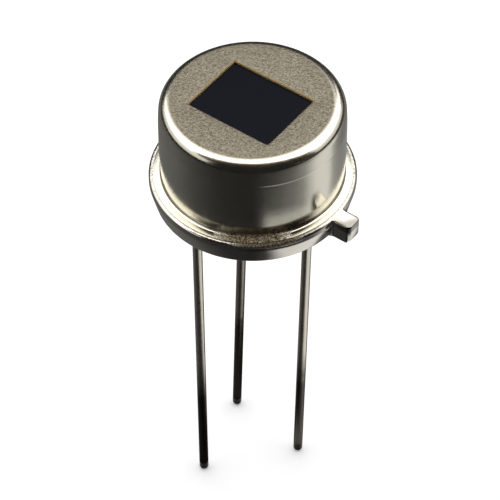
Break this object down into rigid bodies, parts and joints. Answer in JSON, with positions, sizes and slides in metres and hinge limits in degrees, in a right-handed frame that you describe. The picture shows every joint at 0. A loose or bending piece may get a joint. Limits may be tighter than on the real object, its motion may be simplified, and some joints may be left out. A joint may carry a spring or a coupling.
{
  "type": "pir motion sensor",
  "caption": "Pyroelectric infrared sensor: round welded metal can with a dark rectangular filter window, rim tab and long wire leads.",
  "frame": {"origin": "centre of the header's flat underside, the seating plane", "axes": "+Z from the seating plane up to the window, +X along the window's long side to the rim tab"},
  "size_m": [0.0101, 0.0092, 0.0246],
  "materials": {
    "nickel_cap": "satin nickel plate, pebbled on the flat top",
    "nickel_header": "nickel plate over stamped steel, bright",
    "coated_silicon": "opaque to the eye, near black, thin-film coated",
    "black_epoxy": "cured epoxy bead",
    "plated_lead": "drawn wire, nickel plated",
    "seal_glass": "fused sealing glass, dark",
    "braze": "flowed braze",
    "spacer_resin": "moulded insulating resin",
    "alumina": "fired alumina",
    "film_silver": "printed and fired conductor",
    "solder": "bright solder",
    "support_ceramic": "fired, metallised ceramic",
    "silver_epoxy": "silver-filled epoxy",
    "pyro_ceramic": "polished pyroelectric ceramic",
    "absorber_film": "black absorbing metal film",
    "electrode_film": "evaporated metal film",
    "mould_resin": "moulding compound",
    "tinned_lead": "tin plated",
    "resistor_ceramic": "glazed chip"
  },
  "bodies": {
    "root": {"cap": "nickel_cap", "header_base": "nickel_header", "filter_window": "coated_silicon", "filter_bond": "black_epoxy", "lead_drain": "plated_lead", "lead_source": "plated_lead", "lead_ground": "plated_lead", "glass_seal_drain": "seal_glass", "glass_seal_source": "seal_glass", "ground_braze": "braze", "substrate_spacer": "spacer_resin", "substrate": "alumina", "thick_film_tracks": "film_silver", "post_solder": "solder", "element_support_gate": "support_ceramic", "element_support_ground": "support_ceramic", "element_adhesive": "silver_epoxy", "pyroelectric_plate": "pyro_ceramic", "front_electrode": "absorber_film", "back_electrode_gate": "electrode_film", "back_electrode_ground": "electrode_film", "jfet_body": "mould_resin", "jfet_leads": "tinned_lead", "gate_resistor_body": "resistor_ceramic", "gate_resistor_terminals": "tinned_lead"}
  },
  "joints": []
}
